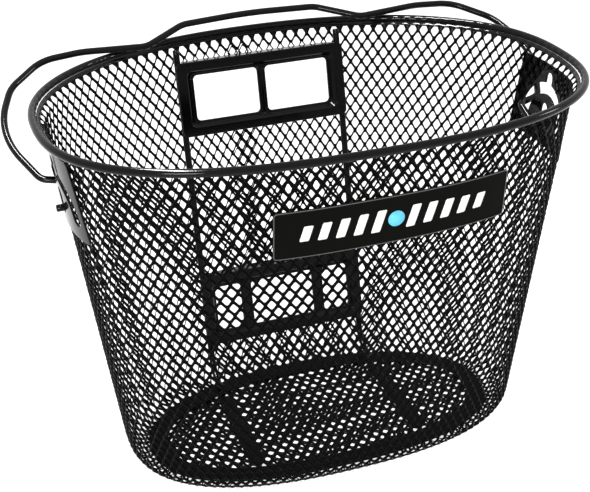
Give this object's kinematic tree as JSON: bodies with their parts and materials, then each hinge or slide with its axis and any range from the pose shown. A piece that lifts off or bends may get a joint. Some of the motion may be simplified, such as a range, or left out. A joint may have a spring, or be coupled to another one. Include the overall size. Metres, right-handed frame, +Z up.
{
  "type": "mesh carry basket",
  "caption": "Tapered oval wire-mesh basket with rolled rim, folding bail handle, slotted end plates, label plate and windowed rear hook panels.",
  "frame": {"origin": "middle of the flat floor's underside, on the surface that the basket stands on", "axes": "+X along the long side, -Y towards the front with the label plate, +Y towards the rear with the hook panels, +Z up"},
  "size_m": [0.3792, 0.2539, 0.2678],
  "materials": {
    "gloss_black": "gloss powder coat",
    "mesh_black": "semi-gloss dip coat",
    "label_black": "satin"
  },
  "bodies": {
    "basket": {"rim_hoop": "gloss_black", "mesh_edge_strip": "mesh_black", "wall_mesh": "mesh_black", "floor_mesh": "mesh_black", "floor_ring": "mesh_black", "floor_strap_left": "mesh_black", "floor_strap_right": "mesh_black", "rear_rod_left": "mesh_black", "rear_rod_right": "mesh_black", "upper_rear_panel": "gloss_black", "lower_rear_panel": "gloss_black", "end_plate_left": "gloss_black", "end_plate_right": "gloss_black", "label_plate": "label_black"},
    "handle": {"carry_handle": "gloss_black"}
  },
  "joints": [
    {"name": "handle_fold", "type": "hinge", "parent": "basket", "child": "handle", "pos_m": [0, -0.01, 0.2034], "axis": [0.9998, 0.0175, 0.0035], "range_deg": [0, 150]}
  ]
}
